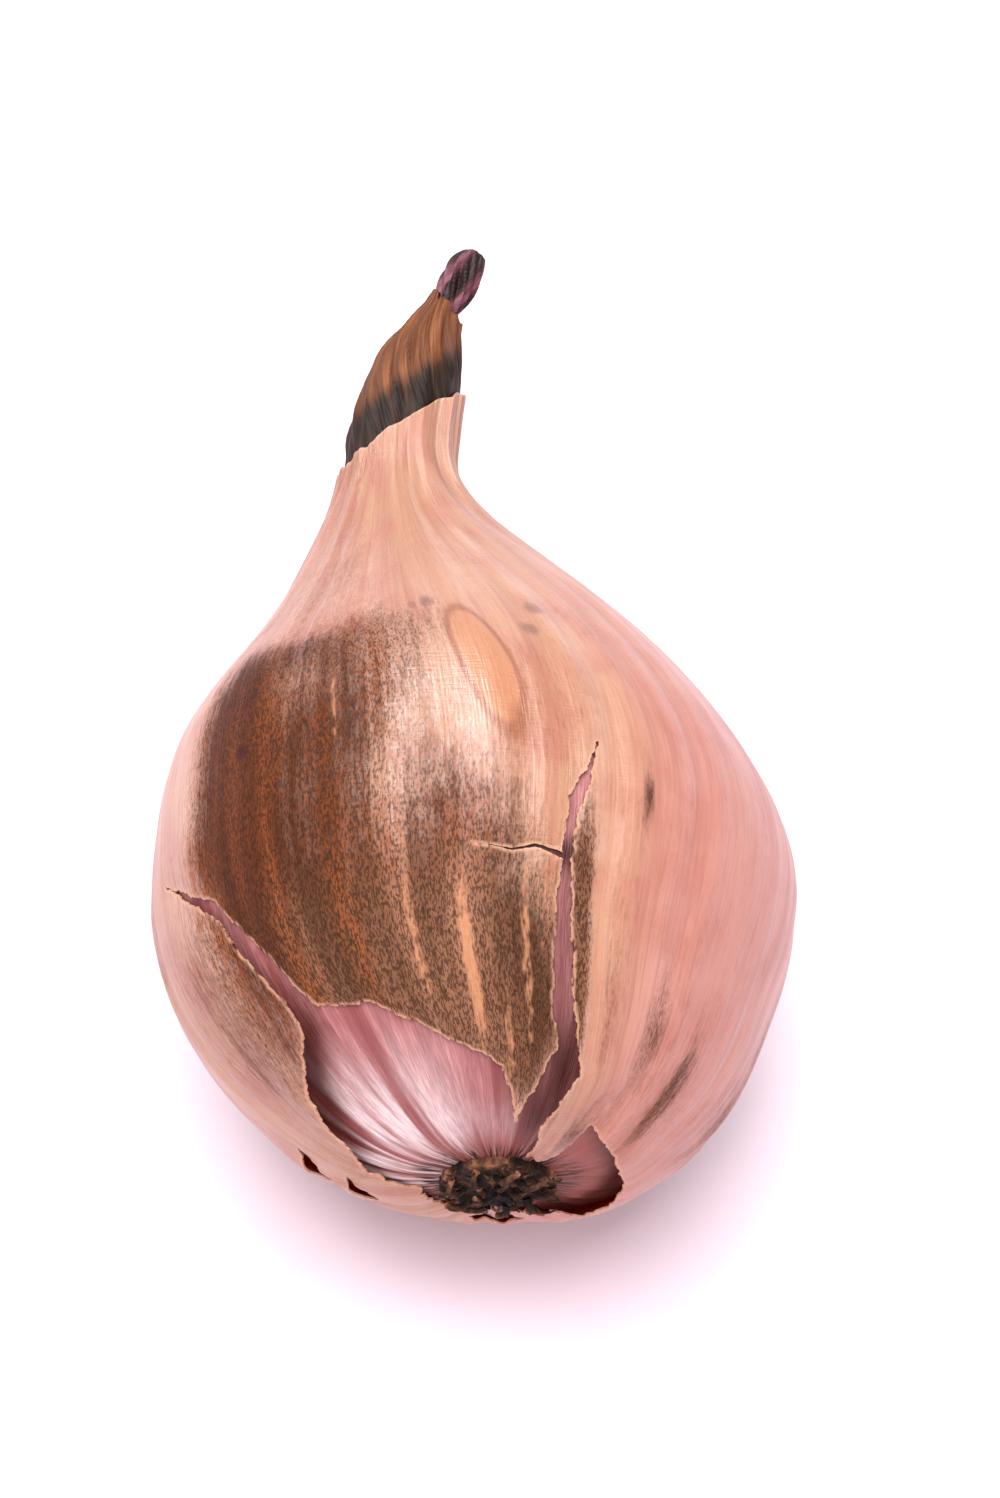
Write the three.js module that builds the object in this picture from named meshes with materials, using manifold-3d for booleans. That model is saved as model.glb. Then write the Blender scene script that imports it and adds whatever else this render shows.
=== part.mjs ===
// A shallot lying on its side, at its real size in millimetres, with +Z up.
// +Y runs from the root end to the dried neck. The origin is the middle of the small flat
// spot that the bulb rests on. Angles round the bulb are in degrees, from the top towards +X.
// The bulb, its torn papery tunic, the neck and its tip are turned bodies, whose axis is then
// bent along the leaning spine, and the tears are cut through the tunic afterwards.

import * as THREE from 'three';
import { mergeVertices } from 'three/addons/utils/BufferGeometryUtils.js';
import Module from 'manifold-3d';

// ---- Driving dimensions ----

const LENGTH = 64;                // root plate's rim to the end of the neck
const ROOT_END = -18;             // where the root plate's rim stands along +Y
const TUNIC_THICKNESS = 0.4;
const GAP = 0.3;                  // clearance between two pieces that touch
const FACETS_ROUND = 36;
const FACETS_ALONG = 27;
const FACETS_NECK = 24;
const FACETS_TIP = 12;

// The tunic's outer profile, by distance from the root plate's rim along the axis: a dome out to
// the belly, a shoulder down to the neck, and the neck's taper to the tip.
const ROOT_HOLE_RADIUS = 4.6;
const BELLY_ALONG = 18;
const BELLY_RADIUS = 20;
const NECK_ALONG = 50;
const NECK_RADIUS = 3.7;
const TIP_RADIUS = 0.9;
const DOME_FULLNESS = 1.6;        // 2 makes the dome a quarter of an ellipse, and less is flatter
const SHOULDER_DELAY = 1.2;       // 1 is an even S curve, and more keeps the start full for longer
const TAPER_DELAY = 1.3;
const DOME_POINTS = 30;
const NECK_POINTS = 60;

// The spine: the root plate sits off to +X, the bulb leans to -X, and the dried tip hooks back.
const ROOT_SHIFT = 1.5;
const ROOT_SHIFT_END = 12;
const LEAN = 5;
const LEAN_FROM = 18;
const LEAN_TO = 48;
const HOOK = 5;
const ROOT_HEIGHT = 18.5;
const NECK_RISE = 6;
const SQUARE_UNTIL = 24;          // the rings stand square to +Y up to here ...
const TURNED_FROM = 44;           // ... and square to the spine from here on

// The flat spot that the bulb rests on.
const SPOT_HALF_DIAGONAL = 6.2;
const SPOT_SIDE_SLOPE = 3;        // degrees, from the spot's sides upwards

// The tunic's collar, cut on the slant round the neck.
const COLLAR_ALONG = 51.8;
const COLLAR_RADIUS = 3.7;
const COLLAR_RISE = 3.5;          // how far its high side stands above its middle
const COLLAR_HIGH_SIDE = 110;     // degrees

// The neck's dried sheath: a core inside the collar, and the tunic's own profile beyond it.
const SHEATH_CORE = [[46.5, 2.3], [48, 2.8], [52, 2.9], [56, 2.4], [59, 1.9]];
const SHEATH_DEPTH = 0.1;
const SHEATH_END = 60.7;
const SHEATH_END_RADIUS = 1.6;
const SHEATH_LIP = 1;             // the straight stretch up to its open end

// The tip that stands out of the sheath's open end.
const TIP_HOLE_RADIUS = 1.2;
const TIP_PROFILE = [
  [56.5, 0.6], [58, 0.85], [60.5, 0.85], [61.7, 1.05], [63.1, 0.9], [LENGTH, 0.4],
];

// The bulb inside the tunic closes here, where the neck begins.
const BULB_SHOULDER = 40;
const BULB_NECK = [43.5, 3.4];    // distance along the axis, and radius
const BULB_END = 46;
const BULB_END_RADIUS = 2.2;

// The root plate and the stubs of the dried roots.
const PLATE_RADIUS = 4.2;
const PLATE_DOME = 0.4;
const PLATE_CROWN_RADIUS = 1.7;
const PLATE_SHOULDER = [-0.28, 3.4];
const ROOT_RINGS = [
  { count: 9, radius: 2.1, size: 0.22, reach: 1.5 },
  { count: 5, radius: 0.8, size: 0.2, reach: 0.9 },
];
// A stub's path, as shares: of its reach outwards, of its turn, and of its reach off the plate.
const ROOT_PATH = [[0, 0, 0], [0.3, 0.1, 0.2], [0.7, 0.25, 0.15], [0.85, 0.45, 0.05]];
const ROOT_TURN = 0.8;
const ROOT_TURN_SPREAD = 0.3;
const ROOT_UNEVENNESS = 0.15;
const ROOT_SIDES = 6;
const ROOT_STEPS = 6;

// Tears through the tunic: degrees round the bulb, and distance along the tunic from the rim.
const TEARS = {
  front: [
    // up the right side of the slit, and down its left side to the flap's point
    [22, -1.2], [17, 4], [23, 8], [19, 12], [17.5, 22], [22, 28],
    [16.5, 24], [15, 12], [17, 9.5], [7, 4],
    // along the flap's edge, up the crack on the left, and back down to the root plate
    [2, 8], [-12, 10], [-26, 12.5], [-39, 13], [-45, 17], [-54, 21], [-72, 24.5],
    [-54, 20], [-45, 14], [-44, 12], [-55, 9], [-66, 5], [-90, 2], [-112, -1.2],
  ],
  right: [[37, 4.5], [60, 3.2], [90, 2.6], [130, 2], [142, -1.2], [46, -1.2], [38, 2]],
  left: [[-94, 8], [-100, 7], [-121, 7], [-106, 8.5]],
  low: [[-103, 5], [-112, 4], [-122, 4.5], [-112, 5.5]],
  under: [[164, 3], [176, 1], [176, -1.2], [198, -1.2], [200, 2], [180, 5]],
};
const TEAR_STEP = 1.6;            // longest straight stretch of a tear's edge
const CUT_ABOVE = 6;              // how far a cutter stands clear of the tunic
const CUT_BELOW = 1.4;

const wasm = await Module();
wasm.setup();

// ---- Solids ----

// Turns a closed mesh into a solid, with its faces pointing out.
function solidFrom(geometry) {
  const bare = new THREE.BufferGeometry();
  bare.setAttribute('position', geometry.getAttribute('position'));
  bare.setIndex(geometry.getIndex());
  const merged = mergeVertices(bare, 1e-4);
  const places = merged.getAttribute('position');
  const corners = merged.getIndex().array;
  const faces = [];
  let volume = 0;
  const a = new THREE.Vector3();
  const b = new THREE.Vector3();
  const c = new THREE.Vector3();
  for (let i = 0; i < corners.length; i += 3) {
    const [p, q, r] = [corners[i], corners[i + 1], corners[i + 2]];
    if (p === q || q === r || r === p) continue;
    faces.push(p, q, r);
    a.fromBufferAttribute(places, p);
    b.fromBufferAttribute(places, q);
    c.fromBufferAttribute(places, r);
    volume += a.dot(b.cross(c));
  }
  if (volume < 0) faces.reverse();
  return new wasm.Manifold(new wasm.Mesh({
    numProp: 3,
    vertProperties: new Float32Array(places.array),
    triVerts: new Uint32Array(faces),
  }));
}

function geometryFrom(solid) {
  const mesh = solid.getMesh();
  const geometry = new THREE.BufferGeometry();
  geometry.setAttribute('position', new THREE.BufferAttribute(mesh.vertProperties, 3));
  geometry.setIndex(new THREE.BufferAttribute(mesh.triVerts, 1));
  geometry.computeVertexNormals();
  return geometry;
}

// ---- The leaning spine ----

class Spine extends THREE.Curve {
  getPoint(share, target = new THREE.Vector3()) {
    const along = share * LENGTH;
    const rootShift = ROOT_SHIFT * (1 - THREE.MathUtils.smoothstep(along, 0, ROOT_SHIFT_END));
    const lean = LEAN * THREE.MathUtils.smoothstep(along, LEAN_FROM, LEAN_TO);
    const hook = HOOK * (Math.max(0, along - LEAN_TO) / (LENGTH - LEAN_TO)) ** 2;
    return target.set(rootShift - lean + hook, along, ROOT_HEIGHT + NECK_RISE * share ** 2);
  }
}

const spine = new Spine();

// The ring square to the axis at a distance along it: its centre, its +X side and its top.
function ringAt(along) {
  const share = along / LENGTH;
  const centre = spine.getPoint(THREE.MathUtils.clamp(share, 0, 1));
  const turn = THREE.MathUtils.smoothstep(along, SQUARE_UNTIL, TURNED_FROM);
  const ahead = spine.getTangent(THREE.MathUtils.clamp(share, 0.001, 0.999));
  ahead.set(ahead.x * turn, ahead.y, ahead.z * turn).normalize();
  centre.y = ROOT_END + along;
  const side = new THREE.Vector3().crossVectors(ahead, new THREE.Vector3(0, 0, 1)).normalize();
  const top = new THREE.Vector3().crossVectors(side, ahead);
  return { centre, ahead, side, top };
}

// Bends a straight turned body, whose axis is +Y with angle 0 at +Z, along the spine.
function bend(geometry) {
  const places = geometry.getAttribute('position');
  for (let i = 0; i < places.count; i += 1) {
    const ring = ringAt(places.getY(i));
    const point = ring.centre
      .addScaledVector(ring.side, places.getX(i))
      .addScaledVector(ring.top, places.getZ(i));
    places.setXYZ(i, point.x, point.y, point.z);
  }
  return geometry;
}

// A turned body from [distance along the axis, radius] points, closed on the axis.
function turned(points, segments = FACETS_ROUND) {
  const first = points[0];
  const last = points[points.length - 1];
  const outline = [[first[0], 0], ...points, [last[0], 0]];
  const lathe = new THREE.LatheGeometry(
    outline.map(([along, radius]) => new THREE.Vector2(radius, along)), segments,
  );
  return solidFrom(bend(lathe));
}

// ---- The tunic's profile ----

// An S curve from 0 to 1 over a stretch of the axis, which starts slowly where delay is over 1.
function sCurve(along, from, to, delay) {
  const share = THREE.MathUtils.clamp((along - from) / (to - from), 0, 1);
  return THREE.MathUtils.smoothstep(share ** delay, 0, 1);
}

function profilePoints() {
  const points = [];
  for (let i = 0; i < DOME_POINTS; i += 1) {
    const turn = i * Math.PI / 2 / DOME_POINTS;
    const along = BELLY_ALONG * (1 - Math.cos(turn) ** (2 / DOME_FULLNESS));
    const radius = THREE.MathUtils.lerp(ROOT_HOLE_RADIUS, BELLY_RADIUS, Math.sin(turn));
    points.push(new THREE.Vector2(along, radius));
  }
  for (let i = 0; i <= NECK_POINTS; i += 1) {
    const along = THREE.MathUtils.lerp(BELLY_ALONG, LENGTH, i / NECK_POINTS);
    const shoulder = sCurve(along, BELLY_ALONG, NECK_ALONG, SHOULDER_DELAY);
    const taper = sCurve(along, NECK_ALONG, LENGTH, TAPER_DELAY);
    const radius = THREE.MathUtils.lerp(BELLY_RADIUS, NECK_RADIUS, shoulder)
      - (NECK_RADIUS - TIP_RADIUS) * taper;
    points.push(new THREE.Vector2(along, radius));
  }
  return points;
}

const profile = new THREE.SplineCurve(profilePoints());
profile.arcLengthDivisions = 2000;
const profileLength = profile.getLength();

// The profile's point at a distance along the tunic from its rim, at a depth under it.
function profilePoint(distance, depth) {
  const share = THREE.MathUtils.clamp(distance / profileLength, 0, 1);
  const point = profile.getPointAt(share);
  const tangent = profile.getTangentAt(THREE.MathUtils.clamp(share, 0.001, 0.999));
  const beyond = Math.min(distance, 0);
  return [point.x + depth * tangent.y, point.y - depth * tangent.x + beyond];
}

function profileRow(depth, start = 0) {
  const row = [];
  for (let i = start; i <= FACETS_ALONG; i += 1) {
    row.push(profilePoint(profileLength * i / FACETS_ALONG, depth));
  }
  return row;
}

// Everything above a height: a wide block on a shallow four-sided foot, which leaves a flat
// spot with four corners under the bulb and softens the spot's sides.
function above(height) {
  const wide = 120;
  const run = (wide - SPOT_HALF_DIAGONAL) * Math.SQRT1_2;
  const rise = run * Math.tan(THREE.MathUtils.degToRad(SPOT_SIDE_SLOPE));
  const foot = new THREE.CylinderGeometry(wide, SPOT_HALF_DIAGONAL, rise, 4);
  foot.rotateY(Math.PI / 4);
  foot.rotateX(Math.PI / 2);
  foot.translate(0, 0, height + rise / 2);
  const block = new THREE.BoxGeometry(wide, wide, wide);
  block.translate(0, 0, height + rise + wide / 2 - GAP);
  return solidFrom(foot).add(solidFrom(block));
}

// ---- The fleshy bulb in its purple inner skin ----

function makeBulb() {
  const depth = TUNIC_THICKNESS + GAP;
  const body = profileRow(depth).filter(([along]) => along < BULB_SHOULDER);
  return turned([...body, BULB_NECK, [BULB_END, BULB_END_RADIUS]])
    .intersect(above(depth));
}

// ---- The torn papery tunic ----

// A cutter with a tear's outline, wrapped round the bulb and standing through the tunic.
function tearCutter(outline) {
  const shape = new THREE.Shape();
  outline.forEach(([angle, distance], i) => {
    const [nextAngle, nextDistance] = outline[(i + 1) % outline.length];
    const radius = profilePoint(distance, 0)[1];
    const across = THREE.MathUtils.degToRad(nextAngle - angle) * radius;
    const steps = Math.ceil(Math.hypot(across, nextDistance - distance) / TEAR_STEP);
    for (let k = 0; k < steps; k += 1) {
      const x = THREE.MathUtils.lerp(angle, nextAngle, k / steps);
      const y = THREE.MathUtils.lerp(distance, nextDistance, k / steps);
      if (i === 0 && k === 0) shape.moveTo(x, y);
      else shape.lineTo(x, y);
    }
  });
  const prism = new THREE.ExtrudeGeometry(shape, { depth: 1, steps: 1, bevelEnabled: false });
  const places = prism.getAttribute('position');
  for (let i = 0; i < places.count; i += 1) {
    const depth = THREE.MathUtils.lerp(CUT_BELOW, -CUT_ABOVE, places.getZ(i));
    const [along, radius] = profilePoint(places.getY(i), depth);
    const angle = THREE.MathUtils.degToRad(places.getX(i));
    places.setXYZ(i, radius * Math.sin(angle), along, radius * Math.cos(angle));
  }
  return solidFrom(bend(prism));
}

// A block whose near face is the collar's slanted cut, moved along the neck by an offset.
function beyondCollar(offset) {
  const ring = ringAt(COLLAR_ALONG + offset);
  const high = THREE.MathUtils.degToRad(COLLAR_HIGH_SIDE);
  const normal = ring.ahead.clone()
    .addScaledVector(ring.side, -Math.sin(high) * COLLAR_RISE / COLLAR_RADIUS)
    .addScaledVector(ring.top, -Math.cos(high) * COLLAR_RISE / COLLAR_RADIUS)
    .normalize();
  const size = 40;
  const block = new THREE.BoxGeometry(size, size, size);
  block.translate(0, 0, size / 2);
  block.lookAt(normal);
  block.translate(ring.centre.x, ring.centre.y, ring.centre.z);
  return solidFrom(block);
}

function makeTunic() {
  const outside = turned(profileRow(0)).intersect(above(0));
  const rootHole = [[-CUT_ABOVE, ROOT_HOLE_RADIUS], [TUNIC_THICKNESS, ROOT_HOLE_RADIUS]];
  const inside = turned([...rootHole, ...profileRow(TUNIC_THICKNESS, 1)])
    .intersect(above(TUNIC_THICKNESS));
  let tunic = outside.subtract(inside).subtract(beyondCollar(0));
  Object.values(TEARS).forEach((outline) => {
    tunic = tunic.subtract(tearCutter(outline));
  });
  return tunic;
}

// ---- The neck's dried sheath and the tip inside it ----

function makeSheath() {
  const [coreStart] = SHEATH_CORE[0];
  const outside = profileRow(SHEATH_DEPTH)
    .filter(([along]) => along > coreStart && along < SHEATH_END - SHEATH_LIP);
  const sleeve = turned([...outside, [SHEATH_END, SHEATH_END_RADIUS]], FACETS_NECK)
    .intersect(beyondCollar(GAP));
  const tipStart = TIP_PROFILE[0][0] - GAP;
  const holeEnd = SHEATH_END + SHEATH_LIP;
  const hole = turned([[tipStart, TIP_HOLE_RADIUS], [holeEnd, TIP_HOLE_RADIUS]], FACETS_TIP);
  return turned(SHEATH_CORE, FACETS_NECK).add(sleeve).subtract(hole);
}

// ---- The root plate and its stubs ----

function makeRootPlate() {
  return turned([
    [-PLATE_DOME, PLATE_CROWN_RADIUS], PLATE_SHOULDER,
    [0, PLATE_RADIUS], [TUNIC_THICKNESS, PLATE_RADIUS],
  ], FACETS_NECK);
}

// One curled stub: it leaves the plate, bends outwards and hooks round to one side.
function makeRoot(angle, ring, turn) {
  const centre = ringAt(0).centre;
  const start = ROOT_END - PLATE_DOME - GAP - ring.size;
  const place = (radius, swing, out) => new THREE.Vector3(
    centre.x + radius * Math.sin(angle + swing), start - out,
    centre.z + radius * Math.cos(angle + swing),
  );
  const path = new THREE.CatmullRomCurve3(ROOT_PATH.map(([outwards, swing, off]) => (
    place(ring.radius + outwards * ring.reach, swing * turn, off * ring.reach))));
  const section = new THREE.Shape();
  section.absarc(0, 0, ring.size, 0, 2 * Math.PI);
  const points = section.getPoints(ROOT_SIDES / 2);
  return solidFrom(new THREE.ExtrudeGeometry(new THREE.Shape(points), {
    steps: ROOT_STEPS, extrudePath: path,
  }));
}

// ---- Assembly ----

const shallot = new THREE.Group();
shallot.name = 'shallot';

function addPiece(name, solid, color, roughness) {
  const material = new THREE.MeshStandardMaterial({ color, roughness, metalness: 0 });
  const mesh = new THREE.Mesh(geometryFrom(solid), material);
  mesh.name = name;
  shallot.add(mesh);
}

addPiece('bulb', makeBulb(), 0xba6b6a, 0.5);
addPiece('outer_skin', makeTunic(), 0xeab49f, 0.45);
addPiece('neck_sheath', makeSheath(), 0x844f30, 0.75);
addPiece('neck_tip', turned(TIP_PROFILE, FACETS_TIP), 0x6e3a42, 0.6);
addPiece('root_plate', makeRootPlate(), 0x5a3f2e, 0.85);

let rootNumber = 0;
ROOT_RINGS.forEach((ring) => {
  for (let i = 0; i < ring.count; i += 1) {
    const angle = 2 * Math.PI * (i + ROOT_UNEVENNESS * Math.sin(5 * i)) / ring.count;
    const turn = ROOT_TURN + ROOT_TURN_SPREAD * Math.sin(3 * i);
    rootNumber += 1;
    const name = `root_${String(rootNumber).padStart(2, '0')}`;
    addPiece(name, makeRoot(angle, ring, turn), 0x6b4a33, 0.85);
  }
});

export default shallot;
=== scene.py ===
"""A shallot lying on its side: a round bulb in its purple inner skin, a torn papery outer skin, a dried
root plate with its root stubs, and a withered neck. Angles round the bulb are in degrees, from the top
towards +X, and lengths are in millimetres until a point is placed."""

import math

import bpy
import numpy as np
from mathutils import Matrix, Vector
from mathutils.geometry import delaunay_2d_cdt


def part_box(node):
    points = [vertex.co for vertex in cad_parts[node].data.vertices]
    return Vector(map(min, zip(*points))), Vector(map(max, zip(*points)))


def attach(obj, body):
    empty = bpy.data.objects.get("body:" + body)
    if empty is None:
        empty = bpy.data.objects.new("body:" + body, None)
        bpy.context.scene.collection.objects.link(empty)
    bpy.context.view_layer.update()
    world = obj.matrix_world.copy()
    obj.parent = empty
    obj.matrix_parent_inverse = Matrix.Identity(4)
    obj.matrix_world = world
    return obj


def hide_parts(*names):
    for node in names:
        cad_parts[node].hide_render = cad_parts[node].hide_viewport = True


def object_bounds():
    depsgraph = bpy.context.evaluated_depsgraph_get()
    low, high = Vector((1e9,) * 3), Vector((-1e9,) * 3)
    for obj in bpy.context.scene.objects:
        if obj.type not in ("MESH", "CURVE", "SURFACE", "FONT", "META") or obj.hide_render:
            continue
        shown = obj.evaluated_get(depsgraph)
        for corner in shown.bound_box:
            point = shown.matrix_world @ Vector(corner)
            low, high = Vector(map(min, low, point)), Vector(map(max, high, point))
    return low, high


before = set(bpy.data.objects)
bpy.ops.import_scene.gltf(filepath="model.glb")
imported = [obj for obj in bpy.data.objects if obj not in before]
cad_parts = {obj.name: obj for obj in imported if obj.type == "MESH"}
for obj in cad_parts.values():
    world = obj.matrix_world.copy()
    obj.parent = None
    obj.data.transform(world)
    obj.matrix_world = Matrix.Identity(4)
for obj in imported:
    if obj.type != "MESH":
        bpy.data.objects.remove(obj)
cad_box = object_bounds()
MM = 0.001

# ---- Camera ----
# A long lens looks down on the shallot from the root end, square to its length.
ELEVATION = math.radians(62)
CAMERA_DISTANCE = 232
box_low, box_high = (Vector(corner) for corner in cad_box)
AIM_SHIFT = Vector((1.6, 1.0, -6.0))
camera_aim = (box_low + box_high) / 2 + AIM_SHIFT * MM
camera_data = bpy.data.cameras.new("camera")
camera_data.lens = 85
camera_data.sensor_width = 36
camera_data.clip_start = 0.01
camera = bpy.data.objects.new("camera", camera_data)
camera.location = camera_aim + CAMERA_DISTANCE * MM * Vector((0, -math.cos(ELEVATION), math.sin(ELEVATION)))
camera.rotation_euler = (math.pi / 2 - ELEVATION, 0, 0)
bpy.context.scene.collection.objects.link(camera)
bpy.context.scene.camera = camera

# ---- Light and floor ----
# A bright room with a window high behind the shallot, and a pale floor with a breath of lilac in it
# that only its shadows show.
bpy.context.scene.view_settings.view_transform = "Standard"
BULB_MIDDLE = Vector((0, 0, 0.015))
FLOOR_HALF = 3.0
FLOOR_COLOUR = (0.8, 0.67, 0.76, 1)


def soft_light(name, place, size, watts, sheen_only=False):
    """A square area light at a place in metres, turned towards the bulb. It may give sheen only."""
    data = bpy.data.lights.new(name, "AREA")
    data.size = size
    data.energy = watts
    light = bpy.data.objects.new(name, data)
    light.location = place
    light.rotation_euler = (BULB_MIDDLE - Vector(place)).to_track_quat("-Z", "Y").to_euler()
    light.visible_diffuse = not sheen_only
    bpy.context.scene.collection.objects.link(light)


soft_light("window", (-0.17, 0.39, 0.46), 0.15, 4.2, sheen_only=True)
soft_light("ceiling", (-0.05, 0.08, 0.9), 0.7, 13.5)
soft_light("front", (-0.1, -0.55, 0.4), 0.5, 1.0)

world = bpy.data.worlds.new("room")
world.use_nodes = True
background = world.node_tree.nodes["Background"]
background.inputs["Color"].default_value = (1.0, 0.99, 0.99, 1.0)
background.inputs["Strength"].default_value = 0.68
bpy.context.scene.world = world

floor_mesh = bpy.data.meshes.new("floor")
floor_corners = [(x * FLOOR_HALF, y * FLOOR_HALF, 0) for x, y in ((-1, -1), (1, -1), (1, 1), (-1, 1))]
floor_mesh.from_pydata(floor_corners, [], [(0, 1, 2, 3)])
floor = bpy.data.objects.new("floor", floor_mesh)
bpy.context.scene.collection.objects.link(floor)
floor_paint = bpy.data.materials.new("floor")
floor_paint.use_nodes = True
floor_shader = floor_paint.node_tree.nodes["Principled BSDF"]
floor_shader.inputs["Base Color"].default_value = FLOOR_COLOUR
floor_shader.inputs["Roughness"].default_value = 0.7
floor_mesh.materials.append(floor_paint)

# ---- Fleshy bulb in its purple inner skin ----
# The shallot's flesh is one tight bulb. Its innermost dry skin clings to it like wet silk: purple
# pink with pale veins that run from the root plate to the neck, coppery where they gather.
ROOT_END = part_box("outer_skin")[0].y / MM      # where the root plate's rim stands along +Y
LENGTH = 64.0
# The skin's radius at four places, and how full the curves between them are.
ROOT_HOLE_RADIUS, BELLY_RADIUS, NECK_RADIUS, TIP_RADIUS = 4.6, 20.0, 3.7, 0.9
BELLY_ALONG, NECK_ALONG = 18.0, 50.0
DOME_FULLNESS, SHOULDER_DELAY, TAPER_DELAY = 1.6, 1.2, 1.3
# The spine: the root end's shift to +X, the lean to -X, the tip's hook back, and the height.
ROOT_SHIFT, ROOT_SHIFT_END = 1.5, 12
LEAN, LEAN_FROM, LEAN_TO, HOOK = 5, 18, 48, 5
ROOT_HEIGHT, NECK_RISE = 18.5, 6
# Rings stand square to +Y up to the first place, and to the spine from the second.
SQUARE_UNTIL, TURNED_FROM = 24, 44
BULB_DEPTH = 0.5                        # how far the bulb lies under the papery skin
BULB_SHOULDER, BULB_END, BULB_END_RADIUS = 40.0, 46.0, 2.2
FLOOR_SOFTNESS = 0.3                    # how softly a surface flattens where it meets the floor


def through(points, count):
    """A smooth curve through the points, in count rows: each stretch is a cubic whose slopes are half the
    step between a point's neighbours. The end points count twice."""
    points = np.asarray(points, float)
    padded = np.concatenate([points[:1], points, points[-1:]])
    place = np.linspace(0, len(points) - 1, count)
    start = np.minimum(place.astype(int), len(points) - 2)
    w = (place - start)[:, None]
    a, b, c, d = (padded[start + k] for k in range(4))
    slope_b, slope_c = (c - a) / 2, (d - b) / 2
    return ((2 * b - 2 * c + slope_b + slope_c) * w**3
            + (3 * c - 3 * b - 2 * slope_b - slope_c) * w**2 + slope_b * w + b)


def smooth(low, high, value):
    """0 below low, 1 above high, and an S curve between them."""
    share = np.clip((np.asarray(value, float) - low) / (high - low), 0, 1)
    return share * share * (3 - 2 * share)


def skin_profile():
    """The skin's outline as (distance along the axis, radius) rows. The root end is a dome, a quarter of a
    flattened ellipse out to the belly. Then two S curves take the radius down, to the neck and to the tip."""
    turn = np.linspace(0, math.pi / 2, 1500)[:-1]
    dome_along = BELLY_ALONG * (1 - np.cos(turn) ** (2 / DOME_FULLNESS))
    dome_radius = ROOT_HOLE_RADIUS + (BELLY_RADIUS - ROOT_HOLE_RADIUS) * np.sin(turn)
    along = np.linspace(BELLY_ALONG, LENGTH, 2500)
    shoulder = smooth(0, 1, ((along - BELLY_ALONG) / (NECK_ALONG - BELLY_ALONG)) ** SHOULDER_DELAY)
    taper = smooth(0, 1, (np.maximum(along - NECK_ALONG, 0) / (LENGTH - NECK_ALONG)) ** TAPER_DELAY)
    radius = BELLY_RADIUS - (BELLY_RADIUS - NECK_RADIUS) * shoulder - (NECK_RADIUS - TIP_RADIUS) * taper
    return np.column_stack([np.concatenate([dome_along, along]), np.concatenate([dome_radius, radius])])


def spine_at(along):
    """The spine as (sideways place, height): a shift at the root end, a lean towards the neck and a hook
    back at the tip, and a height that rises with the square of the distance."""
    hook = HOOK * (np.maximum(0, along - LEAN_TO) / (LENGTH - LEAN_TO)) ** 2
    root_shift = ROOT_SHIFT * (1 - smooth(0, ROOT_SHIFT_END, along))
    sideways = root_shift - LEAN * smooth(LEAN_FROM, LEAN_TO, along) + hook
    return np.column_stack([sideways, ROOT_HEIGHT + NECK_RISE * (along / LENGTH) ** 2])


profile = skin_profile()
profile_arc = np.concatenate([[0], np.cumsum(np.hypot(*np.diff(profile, axis=0).T))])
profile_tangent = np.gradient(profile, profile_arc, axis=0)
spine_along = np.linspace(0, LENGTH, 1001)
spine = spine_at(spine_along)
spine_slope = np.gradient(spine, spine_along, axis=0)


def skin_point(distance, depth=0.0):
    """(distance along the axis, radius) of the point that far along the skin from the root plate's rim,
    and that deep under it: the profile's point plus depth times its inward normal."""
    along = np.interp(distance, profile_arc, profile[:, 0])
    radius = np.interp(distance, profile_arc, profile[:, 1]) + np.minimum(distance, 0)
    toward_neck = np.interp(distance, profile_arc, profile_tangent[:, 0])
    outwards = np.interp(distance, profile_arc, profile_tangent[:, 1])
    return along + depth * outwards, radius - depth * toward_neck


def on_spine(angle, along, radius, floor_at=0.0):
    """Places points of a straight turned body round the leaning spine, in metres: the ring's centre plus
    radius times (sin angle * side + cos angle * top), pressed flat where it meets the floor."""
    angle, along, radius = np.broadcast_arrays(np.radians(angle), along, radius)
    centre = [np.interp(along, spine_along, spine[:, k]) for k in range(2)]
    turn = smooth(SQUARE_UNTIL, TURNED_FROM, along)
    ahead = np.stack([
        turn * np.interp(along, spine_along, spine_slope[:, 0]), np.ones_like(along),
        turn * np.interp(along, spine_along, spine_slope[:, 1]),
    ], -1)
    ahead /= np.linalg.norm(ahead, axis=-1, keepdims=True)
    side = np.cross(ahead, [0.0, 0.0, 1.0])
    side /= np.linalg.norm(side, axis=-1, keepdims=True)
    top = np.cross(side, ahead)
    point = np.stack([centre[0], ROOT_END + along, centre[1]], -1)
    point = point + radius[..., None] * (np.sin(angle)[..., None] * side + np.cos(angle)[..., None] * top)
    height = point[..., 2] - floor_at
    point[..., 2] = floor_at + (height + np.sqrt(height**2 + FLOOR_SOFTNESS**2)) / 2
    return point * MM


def ripples(angle, distance, seed, across, along, count=24):
    """Soft uneven ridges between about -1 and 1: a sum of cosines of whole turns round the bulb, up to
    `across` of them, whose phase drifts up to `along` radians per millimetre."""
    random = np.random.default_rng(seed)
    total = np.zeros(np.broadcast(angle, distance).shape)
    for _ in range(count):
        turns = random.integers(2, across)
        drift, phase = random.uniform(-along, along), random.uniform(0, 2 * math.pi)
        total += np.cos(np.radians(angle) * turns + drift * distance + phase) / math.sqrt(count / 2)
    return total


def grain_of(angle, distance):
    """Where a point is in the grain of the skin: a cylinder 20 mm in radius, with the distance along it."""
    angle, distance = np.broadcast_arrays(np.radians(angle), distance)
    return np.stack([20 * np.sin(angle), 20 * np.cos(angle), distance], -1)


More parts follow.
